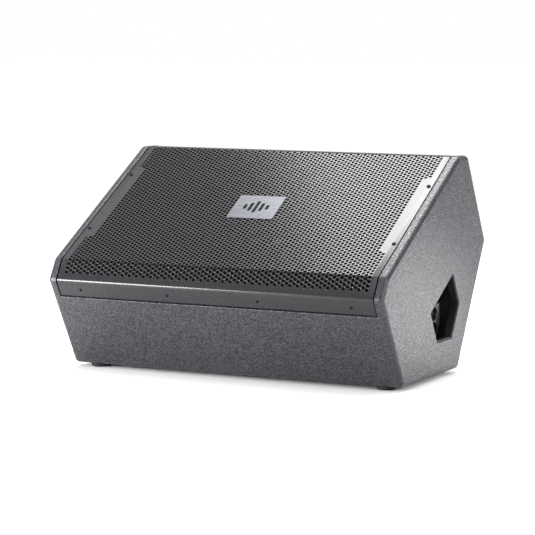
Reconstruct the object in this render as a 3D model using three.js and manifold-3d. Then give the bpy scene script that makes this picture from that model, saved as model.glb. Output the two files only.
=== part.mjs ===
// Stage monitor wedge: a loudspeaker that lies on the floor and faces up at the performer.
// Millimetres. +X is to the right seen from the front, -Y is the low front edge, +Z is up.
// The origin is on the floor under the middle of the wedge.
//
// Most of the cabinet is drawn in slope coordinates (x, a, b): a runs up the sloping face from the
// front panel to the rear panel, b is square to that face, and (0, 0, 0) is the bottom front edge.
// Parts that stand square to the floor are drawn in floor coordinates (x, y, z) from the same edge.

import * as THREE from 'three';
import { mergeVertices } from 'three/addons/utils/BufferGeometryUtils.js';
import Module from 'manifold-3d';

const wasm = await Module();
wasm.setup();

// ---- Cabinet ----
const WIDTH = 718;
const SLOPE_LENGTH = 490;
const SIDE_RISE = 204;
const CHAMFER_RUN = 42;
const TILT = Math.PI / 6;
const CHAMFER_RISE = CHAMFER_RUN * Math.tan(TILT);
const KEEL_DROP = (SLOPE_LENGTH / 2) * Math.tan(TILT);
const FACE_HEIGHT = SIDE_RISE + CHAMFER_RISE;
const MIDDLE = SLOPE_LENGTH / 2;
const FOOT_HEIGHT = 8;
const FOOT_RADIUS = 18.5;
const FOOT_INSET_X = 46;
const FOOT_INSET_Y = 26;
const FLOOR_RUN = SLOPE_LENGTH / 2 / Math.cos(TILT);
const FRONT_EDGE_Y = (SIDE_RISE * Math.sin(TILT) - SLOPE_LENGTH * Math.cos(TILT)) / 2;

const GAP = 0.3;
const END_THICK = 18;
const END_INNER_X = WIDTH / 2 - END_THICK;
const END_ROUNDOVER = 9;
const CORNER_RADIUS = 12;
const BOARD = 15;
const BOARD_HALF_X = END_INNER_X - GAP;
const BAFFLE_TOP = 198;
const BAFFLE_THICK = 18;

// ---- Grille ----
const GRILLE_INSET = 1;
const GRILLE_SHEET = 1.5;
const GRILLE_HALF_X = 338.5;
const LIP_DEPTH = 36;
const LIP_BOTTOM = SIDE_RISE - LIP_DEPTH;
const LIP_GAP = 3;
const SEAT_BOTTOM = LIP_BOTTOM - LIP_GAP;
const SOFT_BEND = 8;
const SHARP_BEND = 4;
const FOAM_THICK = 4;
const GRILLE_TOP = FACE_HEIGHT - GRILLE_INSET;
const GRILLE_UNDER = GRILLE_TOP - GRILLE_SHEET;
const CLEAT_WIDTH = 20;
const CLEAT_MARGIN = 52;
const SIDE_SCREW_X = 330.8;
const SIDE_SCREW_A = 97.5;
const LIP_SCREW_X = [-290.5, -97, 97, 290.5];
const LIP_SCREW_DROP = 20.8;
const SCREW_RADIUS = 2;
const SCREW_CLEARANCE = 0.4;
const BADGE = { width: 100, height: 78, thick: 1.6, corner: 3 };
const POST = { x: 92, a: 110, radius: 9 };

// ---- Woofer, horn and ports ----
const WOOFER_X = -120;
const WOOFER_RADIUS = 193.5;
const HORN = { x: 208, width: 206, length: 300, corner: 12 };
const LEAD_RADIUS = 2.2;
const PORT = { a: 190, bore: 30, wall: 2.5, flange: 38, depth: 90 };

// ---- Handle pockets ----
const OPENING = { halfWidth: 65.5, top: 42.7, shoulder: -27, point: -64.5 };
const CUP_OUTLINE = [[132, 195], [293, 195], [293, 86], [278, 60], [132, 60]];
const CUP_FLOOR_X = 290;
const CUP_STEP_Z = 128;
const CUP_WALL = 2;
const CUP_FLANGE = 10;
const CUP_LEDGE = 6;
const PLATE_THICK = 2.5;
const PLATE_FACE_X = 313;
const SOCKET_Y = 257;
const SOCKET_Z = [79, 110];
const SOCKET_RADIUS = 12;
const SWITCH = { y: 196, z: 104, travel: 6, knob: 6, slotHeight: 7, width: 28, height: 16, depth: 14 };

// ---- Helpers: solids are built from three.js geometries and joined or cut as closed bodies ----

function solidOf(geometry) {
  const bare = geometry.clone();
  bare.deleteAttribute('normal');
  bare.deleteAttribute('uv');
  const merged = mergeVertices(bare, 1e-4);
  return new wasm.Manifold(new wasm.Mesh({
    numProp: 3,
    vertProperties: new Float32Array(merged.attributes.position.array),
    triVerts: new Uint32Array(merged.index.array),
  }));
}

function geometryOf(solid) {
  const mesh = solid.getMesh();
  const geometry = new THREE.BufferGeometry();
  geometry.setAttribute('position', new THREE.BufferAttribute(mesh.vertProperties, 3));
  geometry.setIndex(new THREE.BufferAttribute(mesh.triVerts, 1));
  return geometry;
}

function block([x0, x1], [y0, y1], [z0, z1]) {
  const box = new THREE.BoxGeometry(x1 - x0, y1 - y0, z1 - z0);
  box.translate((x0 + x1) / 2, (y0 + y1) / 2, (z0 + z1) / 2);
  return solidOf(box);
}

// A flat outline in the (second, third) coordinates, pushed along x from x0 to x1.
function slab(outline, x0, x1, roundover = 0) {
  const shape = new THREE.Shape(outline.map(([p, q]) => new THREE.Vector2(p, q)));
  const geometry = new THREE.ExtrudeGeometry(shape, {
    depth: x1 - x0 - roundover,
    bevelEnabled: roundover > 0,
    bevelThickness: roundover,
    bevelSize: roundover,
    bevelOffset: -roundover,
    bevelSegments: 3,
  });
  const turn = new THREE.Matrix4().makeBasis(
    new THREE.Vector3(0, 1, 0),
    new THREE.Vector3(0, 0, 1),
    new THREE.Vector3(1, 0, 0),
  );
  geometry.applyMatrix4(turn);
  geometry.translate(x0, 0, 0);
  return solidOf(geometry);
}

// A turned part: profile points are [radius, height], run outwards along the bottom, then up.
function turned(profile, segments) {
  const points = profile.map(([radius, height]) => new THREE.Vector2(radius, height));
  const geometry = new THREE.LatheGeometry(points, segments);
  geometry.rotateX(Math.PI / 2);
  return geometry;
}

function turnedRing(profile, segments) {
  return turned([...profile, profile[0]], segments);
}

function drum(radius, bottom, top, segments) {
  return turned([[0, bottom], [radius, bottom], [radius, top], [0, top]], segments);
}

function moved(geometry, x, y, z) {
  geometry.translate(x, y, z);
  return geometry;
}

function alongX(geometry) {
  geometry.rotateY(Math.PI / 2);
  return geometry;
}

// The same shape on the other side of the x = 0 plane, with its faces still pointing out.
function mirrored(solid) {
  const geometry = geometryOf(solid);
  const position = geometry.attributes.position;
  for (let i = 0; i < position.count; i += 1) {
    position.setX(i, -position.getX(i));
  }
  const index = geometry.index;
  for (let i = 0; i < index.count; i += 3) {
    const second = index.getX(i + 1);
    index.setX(i + 1, index.getX(i + 2));
    index.setX(i + 2, second);
  }
  return solidOf(geometry);
}

function joined(solids) {
  return solids.reduce((whole, solid) => whole.add(solid));
}

function cut(solid, tools) {
  return tools.reduce((rest, tool) => rest.subtract(tool), solid);
}

// ---- Helpers: outlines ----

function lineMeeting(p, dp, q, dq) {
  const cross = dp[0] * dq[1] - dp[1] * dq[0];
  const t = ((q[0] - p[0]) * dq[1] - (q[1] - p[1]) * dq[0]) / cross;
  return [p[0] + dp[0] * t, p[1] + dp[1] * t];
}

// Moves every edge of a path to its right by the given distance.
function shifted(path, distance, closed) {
  const edgeCount = closed ? path.length : path.length - 1;
  const edges = [];
  for (let i = 0; i < edgeCount; i += 1) {
    const [p, q] = [path[i], path[(i + 1) % path.length]];
    const length = Math.hypot(q[0] - p[0], q[1] - p[1]);
    const along = [(q[0] - p[0]) / length, (q[1] - p[1]) / length];
    const right = [along[1] * distance, -along[0] * distance];
    edges.push({ start: [p[0] + right[0], p[1] + right[1]], end: [q[0] + right[0], q[1] + right[1]], along });
  }
  return path.map((point, i) => {
    if (!closed && i === 0) {
      return edges[0].start;
    }
    if (!closed && i === path.length - 1) {
      return edges[edges.length - 1].end;
    }
    const before = edges[(i - 1 + edges.length) % edges.length];
    const after = edges[i % edges.length];
    return lineMeeting(before.start, before.along, after.start, after.along);
  });
}

// Replaces a corner by an arc of short straight pieces.
function arcAt(previous, corner, next, radius, steps) {
  const toPrevious = new THREE.Vector2(previous[0] - corner[0], previous[1] - corner[1]).normalize();
  const toNext = new THREE.Vector2(next[0] - corner[0], next[1] - corner[1]).normalize();
  const half = Math.acos(toPrevious.dot(toNext)) / 2;
  const reach = radius / Math.tan(half);
  const middle = toPrevious.clone().add(toNext).normalize().multiplyScalar(radius / Math.sin(half));
  const centre = new THREE.Vector2(corner[0] + middle.x, corner[1] + middle.y);
  const tangentPoint = (along) => new THREE.Vector2(corner[0] + along.x * reach, corner[1] + along.y * reach);
  const from = tangentPoint(toPrevious).sub(centre);
  const to = tangentPoint(toNext).sub(centre);
  const sweep = Math.atan2(from.cross(to), from.dot(to));
  const arc = [];
  for (let i = 0; i <= steps; i += 1) {
    const angle = (sweep * i) / steps;
    arc.push([
      centre.x + from.x * Math.cos(angle) - from.y * Math.sin(angle),
      centre.y + from.x * Math.sin(angle) + from.y * Math.cos(angle),
    ]);
  }
  return arc;
}

function roundedOutline(outline, radius, steps) {
  return outline.flatMap((corner, i) => {
    const previous = outline[(i - 1 + outline.length) % outline.length];
    const next = outline[(i + 1) % outline.length];
    return arcAt(previous, corner, next, radius, steps);
  });
}

// A sheet folded along a path: its outer side follows the path, bends have the given outer radii.
function foldedSheet(path, radii, thick, steps) {
  const side = (corners, shrink) => corners.flatMap((corner, i) => {
    if (i === 0 || i === corners.length - 1) {
      return [corner];
    }
    return arcAt(corners[i - 1], corner, corners[i + 1], radii[i - 1] - shrink, steps);
  });
  return [...side(path, 0), ...side(shifted(path, thick, false), thick).reverse()];
}

function roundedRectangle(width, height, radius, steps) {
  const [w, h] = [width / 2, height / 2];
  return roundedOutline([[-w, -h], [w, -h], [w, h], [-w, h]], radius, steps);
}

// A closed solid through rounded sections [halfX, halfY, z, squareness], listed from the bottom up.
function lofted(sections, around) {
  const positions = [];
  const index = [];
  const power = (value, exponent) => Math.sign(value) * Math.abs(value) ** exponent;
  sections.forEach(([halfX, halfY, z, squareness]) => {
    for (let i = 0; i < around; i += 1) {
      const angle = (2 * Math.PI * i) / around;
      positions.push(halfX * power(Math.cos(angle), 2 / squareness));
      positions.push(halfY * power(Math.sin(angle), 2 / squareness));
      positions.push(z);
    }
  });
  const last = (sections.length - 1) * around;
  const bottomCentre = sections.length * around;
  positions.push(0, 0, sections[0][2], 0, 0, sections[sections.length - 1][2]);
  for (let i = 0; i < around; i += 1) {
    const next = (i + 1) % around;
    for (let ring = 0; ring < last; ring += around) {
      index.push(ring + i, ring + next, ring + around + i);
      index.push(ring + next, ring + around + next, ring + around + i);
    }
    index.push(bottomCentre, next, i);
    index.push(bottomCentre + 1, last + i, last + next);
  }
  const geometry = new THREE.BufferGeometry();
  geometry.setAttribute('position', new THREE.Float32BufferAttribute(positions, 3));
  geometry.setIndex(index);
  return geometry;
}

// ---- Groups and materials ----

const wedge = new THREE.Group();
const sloping = new THREE.Group();
sloping.position.set(0, FRONT_EDGE_Y, FOOT_HEIGHT);
sloping.rotation.x = TILT;
const upright = new THREE.Group();
upright.position.set(0, FRONT_EDGE_Y, FOOT_HEIGHT);
wedge.add(sloping, upright);

const FINISHES = {
  texturedCoat: { color: 0x3d3d42, roughness: 0.75, metalness: 0 },
  grilleCoat: { color: 0x2c2c2f, roughness: 0.4, metalness: 0.2 },
  foam: { color: 0x101012, roughness: 0.95, metalness: 0 },
  badgeMetal: { color: 0xb9bac0, roughness: 0.35, metalness: 0.9 },
  blackScrew: { color: 0x1b1b1d, roughness: 0.4, metalness: 0.6 },
  rubber: { color: 0x151516, roughness: 0.85, metalness: 0 },
  bareBoard: { color: 0x8a6f4d, roughness: 0.8, metalness: 0 },
  castFrame: { color: 0x26272a, roughness: 0.5, metalness: 0.5 },
  plainSteel: { color: 0x9a9ca0, roughness: 0.4, metalness: 0.9 },
  paperCone: { color: 0x1d1c1c, roughness: 0.9, metalness: 0 },
  cloth: { color: 0x3a2f22, roughness: 0.9, metalness: 0 },
  copper: { color: 0x9c5a35, roughness: 0.35, metalness: 0.9 },
  blackPlastic: { color: 0x17171a, roughness: 0.5, metalness: 0 },
  platePaint: { color: 0x6b6b72, roughness: 0.45, metalness: 0.3 },
  boardGreen: { color: 0x1f4a34, roughness: 0.6, metalness: 0 },
  capacitorFilm: { color: 0x2a4a8a, roughness: 0.5, metalness: 0 },
};

function place(group, name, shape, finish) {
  const geometry = shape.isBufferGeometry ? shape : geometryOf(shape);
  const mesh = new THREE.Mesh(geometry, new THREE.MeshStandardMaterial(FINISHES[finish]));
  mesh.name = name;
  group.add(mesh);
}

// ---- Cabinet outline, clockwise from the bottom front edge ----

const OUTLINE = [
  [0, 0],
  [0, SIDE_RISE],
  [CHAMFER_RUN, FACE_HEIGHT],
  [SLOPE_LENGTH - CHAMFER_RUN, FACE_HEIGHT],
  [SLOPE_LENGTH, SIDE_RISE],
  [SLOPE_LENGTH, 0],
  [MIDDLE, -KEEL_DROP],
];
const ROUNDED = roundedOutline(OUTLINE, CORNER_RADIUS, 3);
const INNER = shifted(OUTLINE, BOARD, true);

// Holes for the screws that hold the grille's lips, as rods along a.
function lipScrewHoles(radius) {
  return LIP_SCREW_X.map((x) => {
    const rod = drum(radius, -1, SLOPE_LENGTH + 1, 8);
    rod.rotateX(-Math.PI / 2);
    return solidOf(moved(rod, x, 0, SIDE_RISE - LIP_SCREW_DROP));
  });
}

// ---- End panels, each with a five-sided hand hole ----

const { halfWidth, top, shoulder, point } = OPENING;
const HAND_HOLE = [
  [MIDDLE - halfWidth, top],
  [MIDDLE + halfWidth, top],
  [MIDDLE + halfWidth, shoulder],
  [MIDDLE, point],
  [MIDDLE - halfWidth, shoulder],
];

function endPanel() {
  const panel = slab(ROUNDED, END_INNER_X - END_ROUNDOVER, WIDTH / 2, END_ROUNDOVER);
  const spare = block([0, END_INNER_X], [-1, SLOPE_LENGTH + 1], [-KEEL_DROP - 1, FACE_HEIGHT + 1]);
  const handHole = slab(HAND_HOLE, END_INNER_X - 1, WIDTH);
  return cut(panel, [spare, handHole]);
}

const rightEnd = endPanel();
place(sloping, 'right_end_panel', rightEnd, 'texturedCoat');
place(sloping, 'left_end_panel', mirrored(rightEnd), 'texturedCoat');

// ---- Shell boards, mitred where they meet ----

const body = slab(ROUNDED, -BOARD_HALF_X, BOARD_HALF_X);

function shellBoard(outline) {
  return slab(shifted(outline, GAP / 2, true), -BOARD_HALF_X, BOARD_HALF_X).intersect(body);
}

function uprightBoard(front) {
  const flip = ([a, b]) => (front ? [a, b] : [SLOPE_LENGTH - a, b]);
  const outline = [[0, 0], [0, BAFFLE_TOP], [BOARD, BAFFLE_TOP], INNER[0]].map(flip);
  const lipSeat = GRILLE_INSET + GRILLE_SHEET + GAP;
  const seatRange = front ? [-1, lipSeat] : [SLOPE_LENGTH - lipSeat, SLOPE_LENGTH + 1];
  const seat = block([-WIDTH, WIDTH], seatRange, [SEAT_BOTTOM, FACE_HEIGHT]);
  const board = shellBoard(front ? outline : outline.reverse());
  return cut(board, [seat, ...lipScrewHoles(SCREW_RADIUS + SCREW_CLEARANCE)]);
}

place(sloping, 'front_panel', uprightBoard(true), 'texturedCoat');
place(sloping, 'rear_upper_panel', uprightBoard(false), 'texturedCoat');
place(sloping, 'rear_lower_panel', shellBoard([OUTLINE[5], OUTLINE[6], INNER[6], INNER[5]]), 'texturedCoat');
place(sloping, 'bottom_panel', shellBoard([OUTLINE[6], OUTLINE[0], INNER[0], INNER[6]]), 'texturedCoat');

// ---- Baffle board with its woofer, horn and port cut-outs ----

const onBaffle = (geometry, x, a) => moved(geometry, x, a, BAFFLE_TOP);
const PORT_A = [MIDDLE - PORT.a, MIDDLE + PORT.a];
const HORN_BODY = { width: HORN.width - 18, length: HORN.length - 24 };

const baffleBlank = block(
  [-BOARD_HALF_X, BOARD_HALF_X],
  [BOARD + GAP, SLOPE_LENGTH - BOARD - GAP],
  [BAFFLE_TOP - BAFFLE_THICK, BAFFLE_TOP],
);
const hornWindow = block(
  [HORN.x - HORN_BODY.width / 2 - 1, HORN.x + HORN_BODY.width / 2 + 1],
  [MIDDLE - HORN_BODY.length / 2 - 1, MIDDLE + HORN_BODY.length / 2 + 1],
  [BAFFLE_TOP - BAFFLE_THICK - 1, BAFFLE_TOP + 1],
);
place(sloping, 'baffle_board', cut(baffleBlank, [
  solidOf(onBaffle(drum(176, -40, 1, 48), WOOFER_X, MIDDLE)),
  hornWindow,
  ...PORT_A.map((a) => solidOf(onBaffle(drum(PORT.bore + PORT.wall + 0.5, -40, 1, 24), HORN.x, a))),
]), 'bareBoard');

const braceOutline = [
  [INNER[0][0], BAFFLE_TOP - BAFFLE_THICK],
  [INNER[5][0], BAFFLE_TOP - BAFFLE_THICK],
  INNER[5],
  INNER[6],
  INNER[0],
];
place(sloping, 'centre_brace', cut(slab(shifted(braceOutline, GAP, true), 68, 68 + BOARD), [
  block([60, 90], [120, 370], [-20, 120]),
]), 'bareBoard');

// ---- Folded grille, foam and what holds them ----

function grillePath(inset, lipEnd) {
  const inner = shifted(OUTLINE, inset, true);
  return [[inset, lipEnd], ...inner.slice(1, 5), [SLOPE_LENGTH - inset, lipEnd]];
}

const sideScrewSpots = [-1, 1].flatMap((side) => (
  [-1, 1].map((end) => ({ x: side * SIDE_SCREW_X, a: MIDDLE + end * SIDE_SCREW_A }))
));

function sideScrewHoles(radius) {
  return sideScrewSpots.map(({ x, a }) => (
    solidOf(moved(drum(radius, GRILLE_TOP - 20, GRILLE_TOP + 5, 8), x, a, 0))
  ));
}

const sheet = foldedSheet(
  grillePath(GRILLE_INSET, LIP_BOTTOM),
  [SOFT_BEND, SHARP_BEND, SHARP_BEND, SOFT_BEND],
  GRILLE_SHEET,
  3,
);
place(sloping, 'grille', cut(slab(sheet, -GRILLE_HALF_X, GRILLE_HALF_X), [
  ...sideScrewHoles(SCREW_RADIUS + SCREW_CLEARANCE),
  ...lipScrewHoles(SCREW_RADIUS + SCREW_CLEARANCE),
]), 'grilleCoat');

const foamInset = GRILLE_INSET + GRILLE_SHEET + GAP;
const foamCorners = shifted(OUTLINE, foamInset, true).slice(1, 5);
const foamEnd = (corner, towards) => corner.map((value, i) => value + (towards[i] - value) / 6);
const foamPath = [
  foamEnd(foamCorners[0], foamCorners[1]),
  foamCorners[1],
  foamCorners[2],
  foamEnd(foamCorners[3], foamCorners[2]),
];
const cleatInnerX = END_INNER_X - GAP - CLEAT_WIDTH;
const postHoles = [-1, 1].map((end) => (
  solidOf(moved(drum(POST.radius + 0.6, GRILLE_TOP - 20, GRILLE_TOP, 20), POST.x, MIDDLE + end * POST.a, 0))
));
place(sloping, 'grille_foam', cut(
  slab(foldedSheet(foamPath, [6, 6], FOAM_THICK, 2), -cleatInnerX + GAP, cleatInnerX - GAP),
  postHoles,
), 'foam');

const rightCleat = cut(block(
  [cleatInnerX, END_INNER_X - GAP],
  [CLEAT_MARGIN, SLOPE_LENGTH - CLEAT_MARGIN],
  [BAFFLE_TOP + GAP, GRILLE_UNDER - GAP],
), sideScrewHoles(SCREW_RADIUS + SCREW_CLEARANCE));
place(sloping, 'grille_cleat_right', rightCleat, 'bareBoard');
place(sloping, 'grille_cleat_left', mirrored(rightCleat), 'bareBoard');

[['front', -1], ['rear', 1]].forEach(([where, end]) => {
  const post = drum(POST.radius, BAFFLE_TOP + GAP, GRILLE_UNDER - GAP, 20);
  place(sloping, `grille_post_${where}`, moved(post, POST.x, MIDDLE + end * POST.a, 0), 'blackPlastic');
});

function badge() {
  const corners = roundedRectangle(BADGE.width, BADGE.height, BADGE.corner, 3);
  const outline = new THREE.Shape(corners.map(([x, y]) => new THREE.Vector2(x, y)));
  const plate = new THREE.ExtrudeGeometry(outline, { depth: BADGE.thick, bevelEnabled: false });
  const plateSolid = solidOf(moved(plate, 0, MIDDLE, GRILLE_TOP + GAP));
  const field = block(
    [-BADGE.width / 2 + 4, BADGE.width / 2 - 4],
    [MIDDLE - BADGE.height / 2 + 4, MIDDLE + BADGE.height / 2 - 4],
    [GRILLE_TOP + GAP + BADGE.thick - 0.6, GRILLE_TOP + 10],
  );
  return plateSolid.subtract(field);
}
place(sloping, 'badge_plate', badge(), 'badgeMetal');

// A round-headed screw along z with a six-sided driver recess; z = 0 is under its head.
function screw(headRadius, headHeight, shank) {
  const blank = turned([
    [0, -shank],
    [SCREW_RADIUS, -shank],
    [SCREW_RADIUS, 0],
    [headRadius, 0],
    [headRadius, headHeight * 0.5],
    [headRadius * 0.7, headHeight],
    [0, headHeight],
  ], 8);
  const recess = drum(headRadius * 0.42, headHeight * 0.4, headHeight + 1, 6);
  return geometryOf(solidOf(blank).subtract(solidOf(recess)));
}

sideScrewSpots.forEach(({ x, a }, i) => {
  place(sloping, `side_screw_${i + 1}`, moved(screw(4.3, 2.2, 14), x, a, GRILLE_TOP + GAP), 'blackScrew');
});

const lipSides = [
  { where: 'front', turn: 1, a: GRILLE_INSET - GAP },
  { where: 'rear', turn: -1, a: SLOPE_LENGTH - GRILLE_INSET + GAP },
];
lipSides.forEach(({ where, turn, a }) => {
  LIP_SCREW_X.forEach((x, i) => {
    const shape = screw(3, 1.6, 12);
    shape.rotateX((turn * Math.PI) / 2);
    const spot = moved(shape, x, a, SIDE_RISE - LIP_SCREW_DROP);
    place(sloping, `${where}_lip_screw_${i + 1}`, spot, 'blackScrew');
  });
});

// ---- Rubber feet, hollowed under the middle ----

const footY = [FOOT_INSET_Y, FLOOR_RUN - FOOT_INSET_Y];
[-1, 1].forEach((side) => {
  footY.forEach((y, row) => {
    const foot = turned([
      [0, 2.5],
      [5, 2.5],
      [6, 0],
      [FOOT_RADIUS - 1.5, 0],
      [FOOT_RADIUS, 1.5],
      [FOOT_RADIUS, FOOT_HEIGHT - GAP],
      [0, FOOT_HEIGHT - GAP],
    ], 20);
    const name = `foot_${side < 0 ? 'left' : 'right'}_${row === 0 ? 'front' : 'rear'}`;
    place(upright, name, moved(foot, side * (WIDTH / 2 - FOOT_INSET_X), y, -FOOT_HEIGHT), 'rubber');
  });
});

// ---- Woofer; heights are from the face of the baffle board ----

const WOOFER_AROUND = 28;
const placeWoofer = (name, shape, finish) => {
  const geometry = shape.isBufferGeometry ? shape : geometryOf(shape);
  place(sloping, name, onBaffle(geometry, WOOFER_X, MIDDLE), finish);
};

const basket = turnedRing([
  [44, -97],
  [90, -97],
  [175, -12],
  [175, GAP],
  [WOOFER_RADIUS, GAP],
  [WOOFER_RADIUS, 8.3],
  [171, 8.3],
  [171, -10],
  [87, -93],
  [44, -93],
], WOOFER_AROUND);
const basketWindows = [0, 1, 2, 3, 4, 5].map((i) => {
  const window = new THREE.BoxGeometry(140, 84, 60);
  window.translate(150, 0, -46);
  window.rotateZ((i * Math.PI) / 3);
  return solidOf(window);
});
placeWoofer('woofer_frame', cut(solidOf(basket), basketWindows), 'castFrame');

placeWoofer('woofer_motor', turned([
  [0, -147.3],
  [70, -147.3],
  [70, -137.3],
  [78, -137.3],
  [78, -107.3],
  [70, -107.3],
  [70, -97.3],
  [40.5, -97.3],
  [40.5, -137],
  [36, -137],
  [36, -95],
  [0, -95],
], WOOFER_AROUND), 'plainSteel');

const coilSection = [[37.4, -118], [38.8, -118], [38.8, -62], [37.4, -62]];
placeWoofer('voice_coil', turnedRing(coilSection, WOOFER_AROUND), 'copper');

placeWoofer('woofer_cone', turnedRing([
  [39.1, -68],
  [80, -42],
  [120, -14],
  [150, 8.3],
  [150, 10.3],
  [120, -12],
  [80, -40],
  [39.1, -66],
], WOOFER_AROUND), 'paperCone');

function dome(radius, height, thick, base, steps) {
  const arc = (r, h, from, to) => {
    const points = [];
    for (let i = 0; i <= steps; i += 1) {
      const angle = from + ((to - from) * i) / steps;
      points.push([r * Math.cos(angle), base + h * Math.sin(angle)]);
    }
    return points;
  };
  const inner = arc(radius - thick, height - thick, Math.PI / 2, 0);
  const outer = arc(radius, height, 0, Math.PI / 2);
  inner[0][0] = 0;
  outer[steps][0] = 0;
  return turned([...inner, ...outer], WOOFER_AROUND);
}
placeWoofer('dust_cap', dome(48, 15, 1.2, -59.8, 4), 'paperCone');

function rollArc(radius, from, to, steps) {
  const points = [];
  for (let i = 0; i <= steps; i += 1) {
    const angle = from + ((to - from) * i) / steps;
    points.push([161 + radius * Math.cos(angle), 8.7 + radius * Math.sin(angle)]);
  }
  return points;
}
placeWoofer('surround', turnedRing([
  [150.4, 8.7],
  ...rollArc(7.8, Math.PI, 0, 5),
  [184, 8.7],
  [184, 10],
  [170.2, 10],
  ...rollArc(9.2, 0.2, Math.PI - 0.2, 5).slice(1, 5),
  [151.8, 10],
  [150.4, 10],
], WOOFER_AROUND), 'cloth');

placeWoofer('spider', turnedRing([
  [39.2, -82],
  [52, -80],
  [62, -84],
  [72, -80],
  [82, -84],
  [97, -82],
  [97, -81],
  [82, -83],
  [72, -79],
  [62, -83],
  [52, -79],
  [39.2, -81],
], WOOFER_AROUND), 'cloth');

const gasketSection = [[184.4, 8.6], [192, 8.6], [192, 12], [184.4, 12]];
placeWoofer('woofer_gasket', turnedRing(gasketSection, WOOFER_AROUND), 'rubber');

// ---- Horn and compression driver ----

const THROAT = { radius: 25, z: -115 };
const throatSections = [
  [THROAT.radius, THROAT.radius, THROAT.z, 2],
  [33, 38, -100, 2],
  [47, 62, -75, 3],
  [62, 92, -50, 4],
  [78, 118, -25, 5],
  [HORN_BODY.width / 2 - 4, HORN_BODY.length / 2 - 4, 0, 6],
];
const hornWall = 4;
const hornOutside = throatSections.map(([x, y, z, square]) => [x + hornWall, y + hornWall, z, square]);
const hornInside = [
  [THROAT.radius, THROAT.radius, THROAT.z - 5, 2],
  ...throatSections,
  [HORN_BODY.width / 2 - 4, HORN_BODY.length / 2 - 4, 10, 6],
];
hornOutside[hornOutside.length - 1][2] = 1;
const flangePoints = roundedRectangle(HORN.width, HORN.length, HORN.corner, 3);
const hornFlange = new THREE.ExtrudeGeometry(
  new THREE.Shape(flangePoints.map(([x, y]) => new THREE.Vector2(x, y))),
  { depth: 6, bevelEnabled: false },
);
hornFlange.translate(0, 0, GAP);
const horn = joined([
  solidOf(lofted(hornOutside, 24)),
  solidOf(hornFlange),
  solidOf(drum(45, THROAT.z, THROAT.z + 6, 24)),
]).subtract(solidOf(lofted(hornInside, 24)));
place(sloping, 'horn', onBaffle(geometryOf(horn), HORN.x, MIDDLE), 'blackPlastic');

place(sloping, 'compression_driver', onBaffle(turned([
  [0, -158],
  [52, -158],
  [52, -124],
  [45, -120],
  [45, THROAT.z - GAP],
  [14, THROAT.z - GAP],
  [12, -135],
  [0, -135],
], 24), HORN.x, MIDDLE), 'plainSteel');
place(sloping, 'driver_cap', onBaffle(turned([
  [0, -176],
  [38, -176],
  [48, -170],
  [49, -158 - GAP],
  [0, -158 - GAP],
], 24), HORN.x, MIDDLE), 'blackPlastic');

// ---- Port tubes ----

PORT_A.forEach((a, i) => {
  const tube = turnedRing([
    [PORT.bore, -PORT.depth],
    [PORT.bore + PORT.wall, -PORT.depth],
    [PORT.bore + PORT.wall, GAP],
    [PORT.flange, GAP],
    [PORT.flange, 3.3],
    [PORT.bore + 2, 3.3],
    [PORT.bore, 1.3],
  ], 20);
  place(sloping, `port_tube_${i === 0 ? 'front' : 'rear'}`, onBaffle(tube, HORN.x, a), 'blackPlastic');
});

// ---- Handle pockets: cup, input plate, sockets and, on the right, a mode switch ----

// The cup is deep above its step, for the fingers, and shallow below it, where the plate sits on a ledge.
const mouthX = END_INNER_X - GAP;
const ledgeX = PLATE_FACE_X - PLATE_THICK - GAP;
const between = (solid, low, high) => solid.intersect(block([0, WIDTH], [0, SLOPE_LENGTH], [low, high]));
const cupOutside = shifted(CUP_OUTLINE, -CUP_WALL, true);
const flangeOutline = shifted(CUP_OUTLINE, -CUP_FLANGE, true);
const ledgeOpening = shifted(CUP_OUTLINE, CUP_LEDGE, true);
const cup = cut(joined([
  between(slab(cupOutside, CUP_FLOOR_X - CUP_WALL, mouthX), CUP_STEP_Z - CUP_WALL, WIDTH),
  slab(cupOutside, ledgeX - CUP_WALL, mouthX),
  slab(flangeOutline, mouthX - CUP_WALL, mouthX),
]), [
  between(slab(CUP_OUTLINE, CUP_FLOOR_X, WIDTH / 2), CUP_STEP_Z, WIDTH),
  slab(CUP_OUTLINE, ledgeX, WIDTH / 2),
  between(slab(ledgeOpening, ledgeX - 10, ledgeX + 10), 0, CUP_STEP_Z - CUP_LEDGE),
]);

const socketSpots = SOCKET_Z.map((z) => ({ y: SOCKET_Y, z }));
const slotLength = SWITCH.knob + SWITCH.travel + 2 * GAP;
const slotStart = SWITCH.y - slotLength / 2;
const switchSlot = block(
  [ledgeX - 10, WIDTH / 2],
  [slotStart, slotStart + slotLength],
  [SWITCH.z - SWITCH.slotHeight / 2, SWITCH.z + SWITCH.slotHeight / 2],
);
const plateBlank = between(
  slab(shifted(CUP_OUTLINE, GAP, true), PLATE_FACE_X - PLATE_THICK, PLATE_FACE_X),
  0,
  CUP_STEP_Z - GAP,
);
const socketHole = alongX(drum(SOCKET_RADIUS + 0.4, 0, 60, 24));
const plate = cut(plateBlank, socketSpots.map(({ y, z }) => (
  solidOf(moved(socketHole.clone(), PLATE_FACE_X - 30, y, z))
)));

const socket = alongX(turned([
  [0, -24],
  [SOCKET_RADIUS, -24],
  [SOCKET_RADIUS, GAP],
  [SOCKET_RADIUS + 1.8, GAP],
  [SOCKET_RADIUS + 1.8, 3.3],
  [SOCKET_RADIUS - 1.5, 3.3],
  [SOCKET_RADIUS - 1.5, -10],
  [5.5, -10],
  [5.5, 1.5],
  [0, 1.5],
], 18));

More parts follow.
